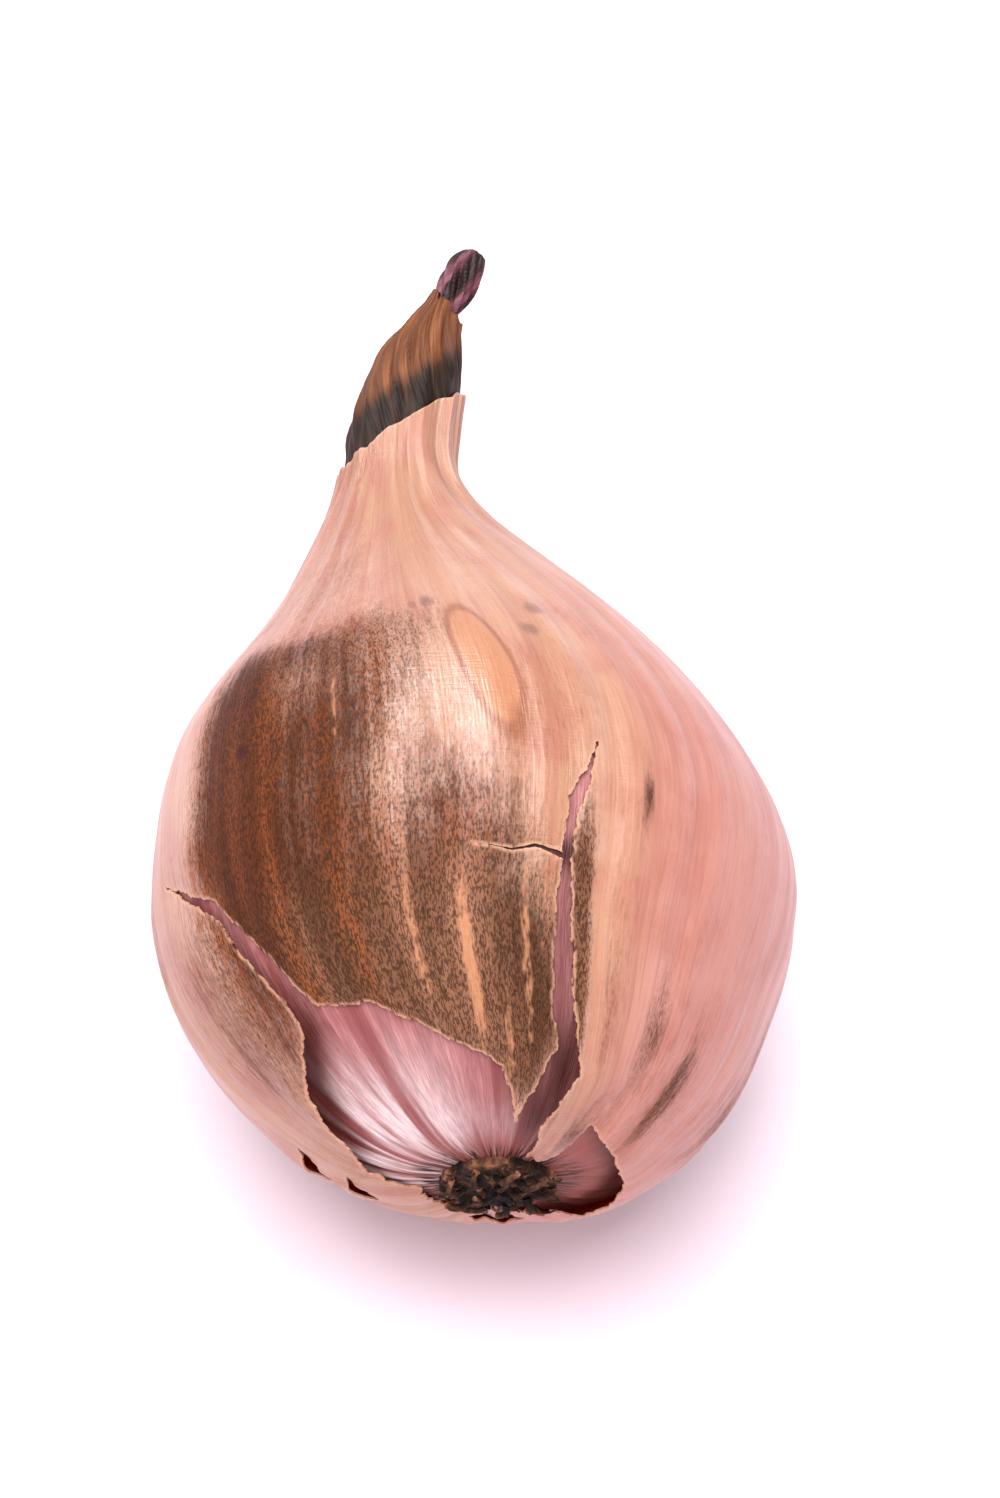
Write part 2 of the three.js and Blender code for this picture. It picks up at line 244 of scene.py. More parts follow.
def piece_from(name, points, faces, material, slot, nodes, grain=None, **shares):
    """A finished piece from points in metres and faces, with its grain and any other point values as
    attributes. It rides on the shallot's one body and stands for the CAD nodes."""
    mesh = bpy.data.meshes.new(name)
    mesh.from_pydata(points.tolist(), [], faces.tolist())
    mesh.polygons.foreach_set("use_smooth", np.ones(len(mesh.polygons), bool))
    mesh.set_sharp_from_angle(angle=math.radians(50))
    if grain is not None:
        mesh.attributes.new("grain", "FLOAT_VECTOR", "POINT").data.foreach_set("vector", grain.ravel())
    for label, values in shares.items():
        if values.ndim == 2:
            mesh.attributes.new(label, "FLOAT_VECTOR", "POINT").data.foreach_set("vector", values.ravel())
        else:
            mesh.attributes.new(label, "FLOAT", "POINT").data.foreach_set("value", values)
    mesh.materials.append(material)
    piece = bpy.data.objects.new(name, mesh)
    bpy.context.scene.collection.objects.link(piece)
    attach(piece, "root")
    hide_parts(*nodes)
    return piece


def closed_rings(rings):
    """Points and faces of a closed surface through rings of points, an array (ring, point round, xyz).
    A middle point closes each end with a fan."""
    count, sides = rings.shape[:2]
    points = np.concatenate([rings.reshape(-1, 3), rings[0].mean(0)[None], rings[-1].mean(0)[None]])
    ring, spot = np.meshgrid(np.arange(count - 1), np.arange(sides), indexing="ij")
    after = (spot + 1) % sides
    a, b = ring * sides + spot, ring * sides + after
    c, d = b + sides, a + sides
    walls = np.concatenate([np.stack([a, b, c], -1).reshape(-1, 3), np.stack([a, c, d], -1).reshape(-1, 3)])
    spot = np.arange(sides)
    after = (spot + 1) % sides
    start = np.stack([np.full(sides, count * sides), after, spot], -1)
    last = (count - 1) * sides
    end = np.stack([np.full(sides, count * sides + 1), last + spot, last + after], -1)
    return points, np.concatenate([walls, start, end])


def ring_values(values):
    """The values of closed_rings' points, for an array (ring, point round, xyz) of them."""
    return np.concatenate([values.reshape(-1, 3), values[0].mean(0)[None], values[-1].mean(0)[None]])


def ring_shares(values):
    """The same for an array (ring, point round) of single values."""
    return ring_values(np.repeat(values[..., None], 3, -1))[:, 0]


def add_node(tree, kind, inputs=(), out=0, **settings):
    """Adds a shader node and joins its inputs, each a value or another node's output. Gives its output."""
    made = tree.nodes.new("ShaderNode" + kind)
    for name, value in settings.items():
        setattr(made, name, value)
    for key, value in dict(inputs).items():
        if isinstance(value, bpy.types.NodeSocket):
            tree.links.new(value, made.inputs[key])
        else:
            made.inputs[key].default_value = value
    return made.outputs[out]


def sums(tree, operation, first, second=0.0, clamp=False):
    """One step of arithmetic between values."""
    return add_node(tree, "Math", {0: first, 1: second}, operation=operation, use_clamp=clamp)


def times(tree, first, second, clamp=False):
    """The product of two values."""
    return sums(tree, "MULTIPLY", first, second, clamp=clamp)


def blend_colour(tree, share, under, over):
    """Paints one colour over another, by a share from 0 to 1."""
    return add_node(tree, "Mix", {0: share, 6: under, 7: over}, out=2, data_type="RGBA", clamp_factor=True)


def paint(tree, under, over, share, strength):
    """Paints one colour over another, by a share from 0 to 1 times a strength."""
    return blend_colour(tree, times(tree, share, strength), under, over)


def fade(tree, value, low, high):
    """0 where the value is at low, 1 where it is at high, and an S curve between. Low may be the larger."""
    return add_node(tree, "MapRange", {"Value": value, "From Min": low, "From Max": high},
                    interpolation_type="SMOOTHSTEP")


def shade_between(tree, value, stops):
    """A colour ramp through (place, colour) stops."""
    made = tree.nodes.new("ShaderNodeValToRGB")
    tree.links.new(value, made.inputs[0])
    ramp = made.color_ramp
    for place, colour in stops[2:]:
        ramp.elements.new(place)
    for element, (place, colour) in zip(ramp.elements, sorted(stops)):
        element.position = place
        element.color = colour
    return made.outputs[0]


def new_group(name, numbers=(), vectors=(), gives=("Value",)):
    """An empty shader node group with those inputs and outputs, all of them values but the vectors."""
    group = bpy.data.node_groups.new(name, "ShaderNodeTree")
    for label in vectors:
        group.interface.new_socket(label, in_out="INPUT", socket_type="NodeSocketVector")
    for label in numbers:
        group.interface.new_socket(label, in_out="INPUT", socket_type="NodeSocketFloat")
    for label in gives:
        group.interface.new_socket(label, in_out="OUTPUT", socket_type="NodeSocketFloat")
    return group, group.nodes.new("NodeGroupInput"), group.nodes.new("NodeGroupOutput")


def place_group(tree, group, inputs, out=0):
    """Puts a node group into a material with its own values."""
    return add_node(tree, "Group", inputs, out, node_tree=group)


def make_fibres_group():
    """Long fibres that run with the grain: noise that is `Width` millimetres wide round the bulb and
    `Length` millimetres long, from 0 to 1."""
    group, given, gives = new_group("fibres", ["Width", "Length", "Detail"], ["Grain"])
    parts = add_node(group, "SeparateXYZ", {0: given.outputs["Grain"]}, out=0)
    split = parts.node
    wide = [sums(group, "DIVIDE", split.outputs[k], given.outputs["Width"]) for k in range(2)]
    long = sums(group, "DIVIDE", split.outputs[2], given.outputs["Length"])
    where = add_node(group, "CombineXYZ", {0: wide[0], 1: wide[1], 2: long})
    noise = add_node(group, "TexNoise", {"Vector": where, "Scale": 1.0, "Detail": given.outputs["Detail"]})
    group.links.new(fade(group, noise, 0.25, 0.75), gives.inputs[0])
    return group


def make_angle_group():
    """The angle round the bulb, in degrees from the top towards +X, and the distance along the skin."""
    group, given, gives = new_group("angle", [], ["Grain"], ["Angle", "Distance"])
    split = add_node(group, "SeparateXYZ", {0: given.outputs["Grain"]}).node
    turn = sums(group, "ARCTAN2", split.outputs[0], split.outputs[1])
    group.links.new(sums(group, "DEGREES", turn), gives.inputs[0])
    group.links.new(split.outputs[2], gives.inputs[1])
    return group


FIBRES = make_fibres_group()
ANGLE = make_angle_group()


def fibres(tree, grain, width, length, detail=3.0):
    """Fibres along the grain, that many millimetres wide and long."""
    return place_group(tree, FIBRES, {"Grain": grain, "Width": width, "Length": length, "Detail": detail})


def srgb(red, green, blue):
    """A colour read as 0 to 255 on a screen, as the linear colour that a shader takes."""
    share = np.array([red, green, blue]) / 255
    linear = np.where(share > 0.04045, ((share + 0.055) / 1.055) ** 2.4, share / 12.92)
    return (*linear.tolist(), 1.0)


def new_material(name):
    """A material with its shader and the piece's grain: (material, node tree, shader, grain)."""
    material = bpy.data.materials.new(name)
    material.use_nodes = True
    tree = material.node_tree
    grain = add_node(tree, "Attribute", attribute_name="grain", out=1)
    return material, tree, tree.nodes["Principled BSDF"], grain


def inner_skin_material():
    """Purple pink skin: pale veins and whitish patches with the grain, coppery near the root plate."""
    material, tree, shader, grain = new_material("inner_skin")
    distance = place_group(tree, ANGLE, {"Grain": grain}, out=1)
    angle = distance.node.outputs[0]
    veins = fibres(tree, grain, 0.9, 14.0, 5.0)
    broad = fibres(tree, grain, 3.0, 22.0, 2.0)
    threads = fibres(tree, grain, 0.14, 1.2, 2.0)
    roots = fibres(tree, grain, 0.55, 2.0, 2.0)
    colour = shade_between(tree, veins, [
        (0.0, srgb(126, 60, 60)), (0.45, srgb(146, 77, 75)), (0.75, srgb(160, 90, 88)),
        (1.0, srgb(184, 120, 118)),
    ])
    left = times(tree, fade(tree, angle, -2, -38), fade(tree, distance, 12, 4))
    middle = times(tree, fade(tree, distance, 6.5, 3), 0.14)
    pale = sums(tree, "ADD", sums(tree, "ADD", left, middle), 0.08)
    pale = times(tree, pale, fade(tree, broad, 0.2, 0.65), clamp=True)
    colour = paint(tree, colour, srgb(244, 222, 222), pale, 0.95)
    copper = times(tree, fade(tree, distance, 3.6, 0.6), fade(tree, veins, 1.0, 0.3))
    copper = sums(tree, "MAXIMUM", copper, fade(tree, angle, 26, 38))
    colour = paint(tree, colour, srgb(146, 70, 52), copper, 0.8)
    colour = paint(tree, colour, srgb(122, 56, 64), threads, 0.5)
    # Painted shade: the flesh turns near black red where the papery skin stands off it.
    dark = add_node(tree, "Attribute", attribute_name="dark", out=2)
    colour = blend_colour(tree, dark, colour, srgb(60, 17, 13))
    scars = times(tree, fade(tree, distance, 1.3, -0.3), fade(tree, roots, 0.6, 0.3))
    colour = blend_colour(tree, scars, colour, srgb(50, 26, 22))
    tree.links.new(colour, shader.inputs["Base Color"])
    shader.inputs["Roughness"].default_value = 0.46
    shader.inputs["Specular IOR Level"].default_value = 0.3
    height = sums(tree, "ADD", times(tree, veins, 0.6), times(tree, threads, 0.4))
    bump = add_node(tree, "Bump", {"Height": height, "Strength": 0.5, "Distance": 0.12 * MM})
    tree.links.new(bump, shader.inputs["Normal"])
    return material


bulb_rows = np.concatenate([np.linspace(-4.4, 0, 18)[:-1], np.linspace(0, 58, 170)])
bulb_angles = np.arange(0, 360, 1.4)
bulb_angle, bulb_distance = np.meshgrid(bulb_angles, bulb_rows)
# Fine ridges all over, and stronger ones that gather at the root plate.
bulb_relief = 0.03 * ripples(bulb_angle, bulb_distance, 3, 60, 0.05)
bulb_relief += 0.05 * ripples(bulb_angle, bulb_distance, 4, 34, 0.03) * smooth(10, 1, bulb_distance)
bulb_along, bulb_radius = skin_point(bulb_distance, BULB_DEPTH + bulb_relief)
bulb_end = smooth(BULB_SHOULDER, BULB_END, bulb_along)
bulb_radius = bulb_radius * (1 - bulb_end) + BULB_END_RADIUS * bulb_end
bulb_along = np.minimum(bulb_along, BULB_END)
bulb_points, bulb_faces = closed_rings(on_spine(bulb_angle, bulb_along, bulb_radius, 0.5))
bulb = piece_from("purple_bulb", bulb_points, bulb_faces, inner_skin_material(), "inner_skin", ["bulb"],
                  grain=ring_values(grain_of(bulb_angle, bulb_distance)))

# ---- Torn papery outer skin ----
# The dry outer leaf of the bulb, thin as parchment: salmon pink and smooth, stained brown and grey by
# mould on the upper left. It has torn and shrunk away from the root end, and its torn edges curl up.
SEAM = -150.0                 # the chart is cut here, on the underside, and joined again in the mesh
SKIN_STEP = 0.42              # the skin's points stand this far apart
CHART_SCALE = np.array([0.2, 1.0])            # a degree is 0.2 mm long where the radius is 11.5 mm
SKIN_THICKNESS = 0.13
WAVES_PER_MM = (0.3, 0.7, 1.3, 2.2, 3.3)      # of the torn edges' raggedness
COLLAR_MIDDLE, COLLAR_RISE, COLLAR_HIGH_SIDE = 64.0, 3.5, 110.0
# Each tear's outline: degrees round the bulb, distance along the skin, and how far that edge stands up.
TEARS = {
    "front": [
        # up the right side of the slit, and down its left side to the flap's point
        (22, -1.2, 0.1), (17, 4, 0.3), (23, 8, 0.6), (19, 12, 0.3), (17.5, 22, 0.1), (22, 28, 0),
        (16.5, 24, 0), (15, 12, 0), (17, 9.5, 0.1), (7, 4, 0.15),
        # along the flap's edge, up the crack on the left, and back down to the root plate
        (2, 8, 0.05), (-12, 10, 0), (-26, 12.5, 0), (-39, 13, 0), (-45, 17, 0), (-54, 21, 0), (-72, 24.5, 0),
        (-54, 20, 0.15), (-45, 14, 0.3), (-44, 12, 0.7), (-55, 9, 1.0), (-66, 5, 0.4), (-90, 2, 0.1),
        (-112, -1.2, 0),
    ],
    "right": [
        (37, 4.5, 0.1), (60, 3.2, 0.6), (90, 2.6, 0.8), (130, 2, 0.6), (142, -1.2, 0.1), (46, -1.2, 0),
        (38, 2, 0),
    ],
    "left": [(-94, 8, 0.1), (-104, 7.2, 0.1), (-121, 7, 0.1), (-106, 8, 0.3)],
    "low": [(-101, 5, 0.1), (-112, 4.2, 0.1), (-122, 4, 0.1), (-112, 5, 0.3)],
    "under": [(166, 2.4, 0.1), (174, 0.8, 0), (193, 0.8, 0), (198, 1.6, 0.1), (180, 3, 0.1)],
    "crack": [
        (0, 21.1, 0), (7, 20.8, 0), (11, 21.2, 0), (16.6, 20.8, 0), (16.6, 20.4, 0.1), (11, 21, 0.05),
        (7, 20.7, 0),
    ],
}


def collar_edge(angle):
    """How far along the skin its collar reaches, a slanted ring round the neck with a ragged edge."""
    slant = COLLAR_RISE * np.sin(np.radians(angle - COLLAR_HIGH_SIDE + 90))
    return COLLAR_MIDDLE + slant + 0.07 * ripples(angle, 0, 11, 14, 0, 20)


def neck_flutes(angle, distance):
    """Soft folds that run up the neck on a twist, in millimetres of height."""
    return 0.12 * ripples(angle + 0.8 * distance, distance, 31, 13, 0.02) * smooth(44, 56, distance)


def root_edge(angle):
    """How far from the root plate's rim the skin begins, a little frayed."""
    return 0.25 + 0.12 * ripples(angle, 0, 12, 90, 0, 40)


def torn_edge(outline, seed, step=0.13, roughness=0.035):
    """A tear's outline in short steps, each pushed sideways by a sum of waves along the edge, the shorter
    the weaker. Gives degrees, distance and lift."""
    random = np.random.default_rng(seed)
    outline = np.array(outline + outline[:1], float)
    round_mm = np.radians(1) * skin_point(outline[:, 1])[1]
    lengths = np.hypot(np.diff(outline[:, 0]) * (round_mm[1:] + round_mm[:-1]) / 2, np.diff(outline[:, 1]))
    walked = np.concatenate([[0], np.cumsum(lengths)])
    steps = np.linspace(0, walked[-1], int(walked[-1] / step), endpoint=False)
    edge = np.column_stack([np.interp(steps, walked, outline[:, k]) for k in range(3)])
    mm = np.radians(1) * skin_point(edge[:, 1])[1]
    heading = np.column_stack([np.gradient(edge[:, 0]) * mm, np.gradient(edge[:, 1])])
    heading /= np.linalg.norm(heading, axis=1, keepdims=True)
    push = np.zeros(len(steps))
    for waves in WAVES_PER_MM:
        phase = random.uniform(0, 2 * math.pi)
        push += roughness * waves**-0.4 * np.sin(2 * math.pi * waves * steps + phase)
    edge[:, 0] += push * heading[:, 1] / mm
    edge[:, 1] -= push * heading[:, 0]
    return edge


def inside(points, outline):
    """Which points lie inside a closed outline: those with an odd number of its sides beyond them."""
    x, y = points[:, 0], points[:, 1]
    low, high = outline.min(0), outline.max(0)
    box = (x > low[0]) & (x < high[0]) & (y > low[1]) & (y < high[1])
    found = np.zeros(len(points), bool)
    px, py = x[box, None], y[box, None]
    ax, ay = outline[:, 0], outline[:, 1]
    bx, by = np.roll(ax, -1), np.roll(ay, -1)
    spans = (ay > py) != (by > py)
    crossing = ax + (py - ay) * (bx - ax) / np.where(by == ay, 1, by - ay)
    found[box] = (spans & (px < crossing)).sum(1) % 2 == 1
    return found


def nearest_edge(angle, distance, edges):
    """(millimetres to the nearest torn edge, that edge's lift) for each point, in slices of points."""
    span = np.full(len(angle), 99.0)
    lift = np.zeros(len(angle))
    mm = np.radians(1) * skin_point(distance)[1]
    for part in np.array_split(np.arange(len(angle)), 24):
        gap = np.hypot((angle[part, None] - edges[:, 0]) * mm[part, None], distance[part, None] - edges[:, 1])
        found = gap.argmin(1)
        span[part] = gap[np.arange(len(part)), found]
        lift[part] = edges[found, 2]
    return span, lift


def skin_chart(edges):
    """The skin laid flat, as (degrees, distance) points and triangles: rows of evenly spaced points, and
    the torn edges, the collar and the root edge as lines that no triangle crosses."""
    lines = list(edges.values())
    rim = np.linspace(SEAM, SEAM + 360, 221)
    collar = np.linspace(SEAM, SEAM + 360, 261)
    lines_open = [np.column_stack([rim, root_edge(rim)]), np.column_stack([collar, collar_edge(collar)])]
    rows = []
    for distance in np.arange(0.2, COLLAR_MIDDLE + COLLAR_RISE + 1, SKIN_STEP * 0.87):
        count = max(70, int(2 * math.pi * skin_point(distance)[1] / SKIN_STEP))
        shift = 0.5 if len(rows) % 2 else 1.0
        across = SEAM + 360 * (np.arange(count) + shift) / count
        across = np.concatenate([[SEAM], across[across < SEAM + 359.9], [SEAM + 360]])
        rows.append(np.column_stack([across, np.full(len(across), distance)]))
    points = np.concatenate(rows)
    mm = np.radians(1) * skin_point(points[:, 1])[1]
    on_seam = (points[:, 0] == SEAM) | (points[:, 0] == SEAM + 360)
    fixed = np.concatenate([line[:, :2] for line in lines + lines_open])
    near = nearest_edge(points[:, 0], points[:, 1], np.column_stack([fixed, np.zeros(len(fixed))]))[0]
    ends = (np.abs(points[:, 1] - root_edge(SEAM)) < 0.2) | (np.abs(points[:, 1] - collar_edge(SEAM)) < 0.2)
    points = points[np.where(on_seam, ~ends, near > 0.3 * SKIN_STEP)]
    start, constraints, parts = len(points), [], [points]
    for line, closed in [(e, True) for e in lines] + [(e, False) for e in lines_open]:
        ids = start + np.arange(len(line))
        constraints.append(np.column_stack([ids, np.roll(ids, -1)])[: None if closed else -1])
        parts.append(line[:, :2])
        start += len(line)
    flat = np.concatenate(parts) * CHART_SCALE
    made = delaunay_2d_cdt([Vector(p) for p in flat], np.concatenate(constraints).tolist(), [], 0, 1e-6)
    chart = np.array([tuple(p) for p in made[0]]) / CHART_SCALE
    faces = np.array([f for f in made[2] if len(f) == 3])
    middle = chart[faces].mean(1)
    kept = (middle[:, 1] > root_edge(middle[:, 0])) & (middle[:, 1] < collar_edge(middle[:, 0]))
    for edge in edges.values():
        kept &= ~inside(middle, edge[:, :2])
    return chart, faces[kept]


def join_seam(chart, faces):
    """Gives the points on the seam's far side the numbers of those on its near side."""
    near = np.flatnonzero(np.abs(chart[:, 0] - SEAM) < 1e-4)
    far = np.flatnonzero(np.abs(chart[:, 0] - SEAM - 360) < 1e-4)
    near, far = near[np.argsort(chart[near, 1])], far[np.argsort(chart[far, 1])]
    number = np.arange(len(chart))
    match = near[np.abs(chart[far, 1][:, None] - chart[near, 1]).argmin(1)]
    number[far] = match
    used, faces = np.unique(number[faces], return_inverse=True)
    return chart[used], faces.reshape(-1, 3)


def thick_sheet(outer, inner, faces):
    """Closes a sheet: its outer side, its inner side turned over, and a wall along every free edge."""
    count = len(outer)
    sides = np.concatenate([faces[:, [0, 1]], faces[:, [1, 2]], faces[:, [2, 0]]])
    forward, backward = sides @ [count, 1], sides @ [1, count]
    free = sides[~np.isin(forward, backward)]
    a, b = free[:, 0], free[:, 1]
    walls = np.concatenate([np.stack([b, a, a + count], -1), np.stack([b, a + count, b + count], -1)])
    return np.concatenate([outer, inner]), np.concatenate([faces, faces[:, ::-1] + count, walls])


# Soft blotches on the skin: degrees, distance, half width, half length, strength.
STAINS = [
    (-42, 27, 11, 8.5, 1.0), (-45, 33.5, 7, 5, 0.85), (-33, 36, 8, 2.5, 0.5), (-24, 35, 5, 2, 0.4),
    (-26, 27, 9, 6.5, 0.7),
    (-42, 20, 9, 7, 1.0), (-27, 16, 17, 6, 1.0), (-7, 13.5, 13, 6, 1.0), (7, 12.5, 9, 7, 1.0),
    (-4, 22, 15, 5, 0.42), (-16, 34, 9, 6, 0.45), (-8, 29, 15, 6, 0.22), (-53, 26, 6, 12, 0.5),
    (-60, 14, 14, 8, 0.42),
    (-8, 37, 14, 3, 0.25), (19.2, 15, 3, 8.6, 1.0), (41, 11.5, 3.2, 4.6, 0.42), (56, 8, 3.8, 4.2, 0.5),
    (31, 25, 1.2, 2, 0.4), (13, 31, 5, 6, 0.12), (33, 3, 5, 2.5, 0.45), (-35, 47, 16, 7, 0.2),
    (140, 24, 26, 10, 0.6), (-128, 30, 20, 12, 0.5), (100, 12, 16, 6, 0.35), (178, 44, 30, 6, 0.35),
    (-100, 30, 14, 12, 0.45), (28, 12, 2, 6, 0.3),
]
RUSTS = [
    (-24, 17, 2.6, 7, 0.85), (-37.5, 16, 1.6, 6, 0.8), (-36, 31, 5, 6, 0.5), (-26, 28, 4, 8, 0.5),
    (-62, 14, 3, 9, 0.8), (-75, 10, 6, 7, 0.6), (-32, 45, 14, 9, 0.36), (-40, 54, 18, 9, 0.26),
    (60, 7, 12, 2.5, 0.4), (38, 5.5, 6, 2.5, 0.5), (150, 20, 16, 9, 0.4), (-140, 22, 14, 9, 0.4),
    (-20, 38, 6, 5, 0.4), (-50, 43, 9, 6, 0.4), (-60, 60.2, 55, 1.8, 0.75), (-53, 14, 4, 6, 0.5),
    (-66, 19, 3, 6, 0.4), (48, 12, 2, 9, 0.25), (-45, 31, 2, 8, 0.3), (-16, 22, 5, 4, 0.35),
    (-85, 4, 12, 4, 0.4),
]
PALES = [
    (-2, 14, 1.5, 6.5, 1.0), (-12, 16, 1.0, 8, 0.75), (9.5, 15, 1.2, 8, 0.75), (4.5, 9.5, 1.4, 4, 0.75),
    (-23.5, 32, 0.6, 8, 0.6), (-19, 33, 0.5, 6, 0.4), (-40, 33, 0.8, 5, 0.35), (-5, 29, 13, 5, 0.45),
    (24, 16, 3.0, 12, 0.6), (160, 22, 3, 9, 0.6), (13, 15, 0.6, 6, 0.5), (-7, 13, 0.6, 5, 0.35),
]


def blotches(angle, distance, marks):
    """Soft ovals laid over each other: strength times exp(-(squared distance in half sizes)^1.2)."""
    clean = np.ones(len(angle))
    for middle, along, half_width, half_length, strength in marks:
        turn = (angle - middle + 180) % 360 - 180
        away = (turn / half_width) ** 2 + ((distance - along) / half_length) ** 2
        clean *= 1 - strength * np.exp(-(away**1.2))
    return 1 - clean


def make_oval_group():
    """A slanted oval mark on the skin with a soft border: 1 inside, 0 outside."""
    group, given, gives = new_group("oval_mark", [
        "Angle", "Distance", "Middle Angle", "Middle Distance", "Half Width", "Half Length",
        "Slant", "Softness",
    ])
    across = sums(group, "SUBTRACT", given.outputs["Angle"], given.outputs["Middle Angle"])
    along = sums(group, "SUBTRACT", given.outputs["Distance"], given.outputs["Middle Distance"])
    across = sums(group, "ADD", across, sums(group, "MULTIPLY", along, given.outputs["Slant"]))
    wide = sums(group, "POWER", sums(group, "DIVIDE", across, given.outputs["Half Width"]), 2.0)
    long = sums(group, "POWER", sums(group, "DIVIDE", along, given.outputs["Half Length"]), 2.0)
    away = sums(group, "SQRT", sums(group, "ADD", wide, long))
    low = sums(group, "ADD", 1.0, given.outputs["Softness"])
    high = sums(group, "SUBTRACT", 1.0, given.outputs["Softness"])
    group.links.new(fade(group, away, low, high), gives.inputs[0])
    return group


OVAL_MARK = make_oval_group()
# The oval scar, its dark rim and the tail at its foot: place in degrees and millimetres, half size.
SCAR_PLACE, SCAR_HALF, SCAR_RIM_HALF, SCAR_SLANT = (4.6, 33.4), (4.2, 4.9), (5.3, 6.0), 0.35
SCAR_TAIL_PLACE, SCAR_TAIL_HALF = (8.6, 28.4), (1.7, 1.3)
# Small dark spots: place in degrees and millimetres, half size, strength.
SPOTS = [
    ((-43, 29.2), (1.3, 0.5), 1.0), ((-3, 40.2), (1.5, 0.8), 0.5), ((-6.2, 39.8), (0.9, 0.5), 0.4),
    ((20, 39.1), (2.0, 0.6), 0.45), ((16, 36.7), (1.8, 0.6), 0.45), ((31, 25), (1.0, 1.1), 0.4),
]


def papery_skin_material():
    """Salmon parchment with pink veins; brown and grey mould stains stippled along the grain; rust and
    pale streaks; an oval scar; and a thin pale border along the torn edges."""
    material, tree, shader, grain = new_material("papery_skin")
    distance = place_group(tree, ANGLE, {"Grain": grain}, out=1)
    angle = distance.node.outputs[0]
    marks = add_node(tree, "Attribute", attribute_name="marks", out=1)
    stain, rust, pale = add_node(tree, "SeparateXYZ", {0: marks}).node.outputs
    edge = add_node(tree, "Attribute", attribute_name="edge", out=2)

    broad = fibres(tree, grain, 3.2, 30.0)
    veins = fibres(tree, grain, 0.8, 18.0, 4.0)
    threads = fibres(tree, grain, 0.18, 5.0)
    cloud = add_node(tree, "TexNoise", {"Vector": grain, "Scale": 0.22, "Detail": 5.0})
    stipple = fibres(tree, grain, 0.11, 0.3, 2.0)
    dust = fibres(tree, grain, 0.22, 0.8, 4.0)
    creases = fibres(tree, grain, 1.4, 0.16)

    colour = shade_between(tree, broad, [
        (0.0, srgb(168, 118, 90)), (0.4, srgb(178, 130, 104)), (0.7, srgb(184, 140, 117)),
        (1.0, srgb(191, 150, 131)),
    ])
    pink = times(tree, fade(tree, angle, 20, 42), fade(tree, distance, 50, 26))
    colour = paint(tree, colour, srgb(186, 124, 116), pink, 0.75)
    rosy = times(tree, fade(tree, cloud, 0.42, 0.66), 0.45)
    colour = blend_colour(tree, rosy, colour, srgb(168, 98, 84))
    veined = times(tree, fade(tree, veins, 0.5, 0.05), 0.35)
    colour = blend_colour(tree, veined, colour, srgb(150, 84, 66))
    threaded = times(tree, fade(tree, threads, 0.5, 0.1), 0.22)
    colour = blend_colour(tree, threaded, colour, srgb(140, 76, 60))

    uneven = sums(tree, "ADD", times(tree, cloud, 0.5), times(tree, veins, 0.26))
    uneven = sums(tree, "ADD", uneven, times(tree, dust, 0.26))
    stained = fade(tree, sums(tree, "SUBTRACT", sums(tree, "ADD", stain, uneven), 0.51), 0.04, 0.78)
    brown = shade_between(tree, broad, [
        (0.0, srgb(54, 20, 4)), (0.35, srgb(72, 30, 8)), (0.65, srgb(94, 43, 13)), (1.0, srgb(132, 68, 28)),
    ])
    grey = shade_between(tree, broad, [
        (0.0, srgb(72, 42, 26)), (0.4, srgb(92, 58, 39)), (0.7, srgb(116, 76, 55)), (1.0, srgb(152, 104, 80)),
    ])
    low = times(tree, fade(tree, distance, 24, 17), fade(tree, angle, -48, -28))
    brown = blend_colour(tree, low, brown, grey)
    colour = paint(tree, colour, brown, stained, 0.96)
    rusty = times(tree, rust, fade(tree, dust, 0.0, 0.7))
    colour = paint(tree, colour, srgb(138, 70, 28), rusty, 0.8)
    coarse = fade(tree, sums(tree, "SUBTRACT", stipple, times(tree, stained, 0.2)), 0.42, 0.12)
    specks = times(tree, fade(tree, stain, 0.05, 0.5), coarse)
    colour = paint(tree, colour, srgb(46, 24, 13), specks, 0.72)
    motes = times(tree, stained, fade(tree, dust, 0.36, 0.12))
    colour = paint(tree, colour, srgb(56, 31, 18), motes, 0.6)

    light = fade(tree, sums(tree, "ADD", pale, times(tree, dust, 0.35)), 0.5, 1.0)
    colour = paint(tree, colour, srgb(190, 132, 98), light, 0.8)

    def mark(middle, half, slant, softness):
        return place_group(tree, OVAL_MARK, {
            "Angle": angle, "Distance": distance, "Middle Angle": middle[0], "Middle Distance": middle[1],
            "Half Width": half[0], "Half Length": half[1], "Slant": slant, "Softness": softness})

    scar = mark(SCAR_PLACE, SCAR_HALF, SCAR_SLANT, 0.1)
    around = mark(SCAR_PLACE, SCAR_RIM_HALF, SCAR_SLANT, 0.08)
    rim = times(tree, around, sums(tree, "SUBTRACT", 1.0, scar))
    colour = paint(tree, colour, srgb(134, 72, 44), rim, 0.7)
    colour = paint(tree, colour, srgb(178, 118, 82), scar, 0.75)
    tail = mark(SCAR_TAIL_PLACE, SCAR_TAIL_HALF, 0.2, 0.7)
    colour = paint(tree, colour, srgb(140, 80, 48), tail, 0.7)
    for place, half, share in SPOTS:
        spot = times(tree, mark(place, half, 0.0, 0.5), share)
        colour = blend_colour(tree, spot, colour, srgb(60, 26, 17))

